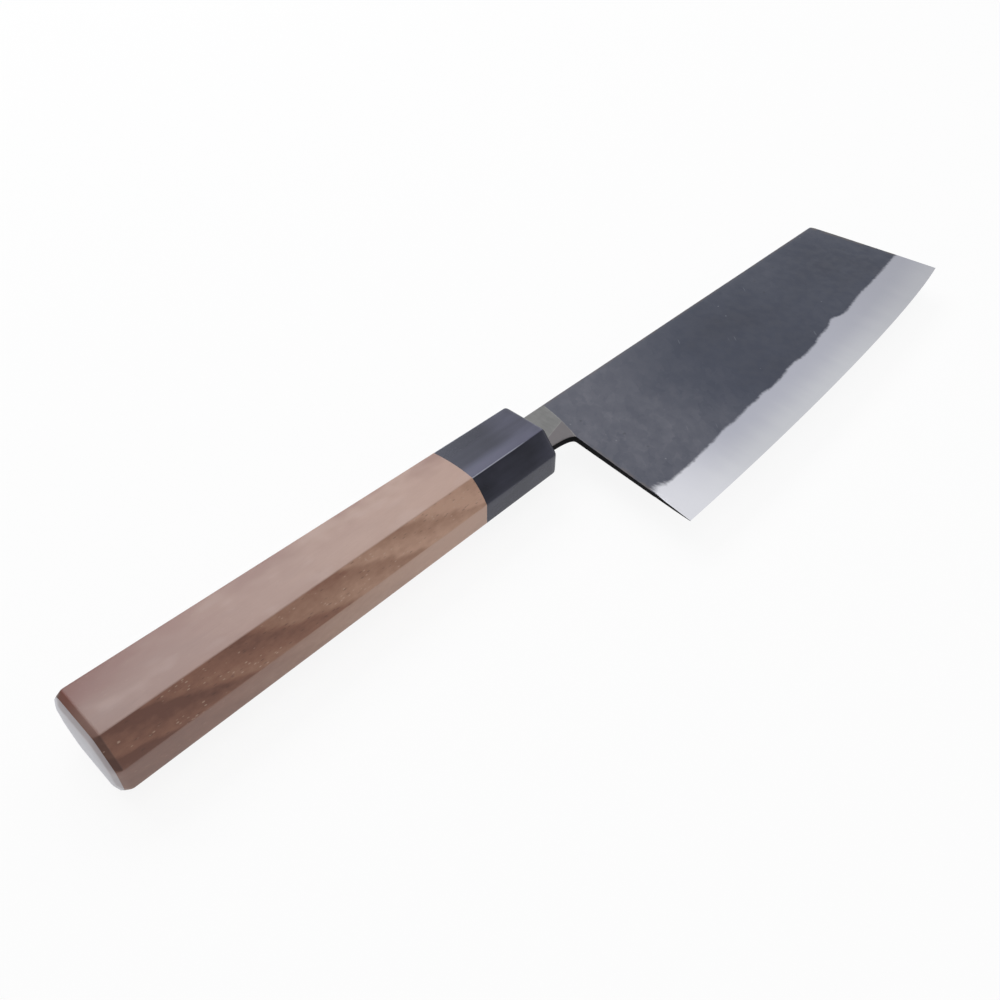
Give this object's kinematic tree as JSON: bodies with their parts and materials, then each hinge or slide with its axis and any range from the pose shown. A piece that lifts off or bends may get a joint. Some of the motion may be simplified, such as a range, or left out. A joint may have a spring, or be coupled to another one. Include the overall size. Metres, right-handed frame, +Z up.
{
  "type": "nakiri knife",
  "caption": "Square-fronted vegetable knife with a laminated black-forged blade, bright ground bevel, dark ferrule and octagonal wooden handle.",
  "frame": {"origin": "bottom centre of the knife's box, with the knife lying on its side and the butt's lower rim on Z = 0", "axes": "+X from the butt to the tip along the handle, +Y towards the spine, +Z up out of the blade's upper face"},
  "size_m": [0.3034, 0.0638, 0.02],
  "materials": {
    "edge_steel": "ground and honed, satin",
    "forge_scale": "black forge scale, ground bright at the bevel",
    "neck_iron": "ground",
    "black_horn": "polished",
    "handle_wood": "oiled, satin",
    "dowel_wood": "raw",
    "resin": "cast"
  },
  "bodies": {
    "root": {"core_steel": "edge_steel", "upper_cladding": "forge_scale", "lower_cladding": "forge_scale", "tang": "neck_iron", "ferrule": "black_horn", "handle_wood": "handle_wood", "handle_dowel": "dowel_wood", "tang_bedding": "resin", "ferrule_seal": "resin"}
  },
  "joints": []
}
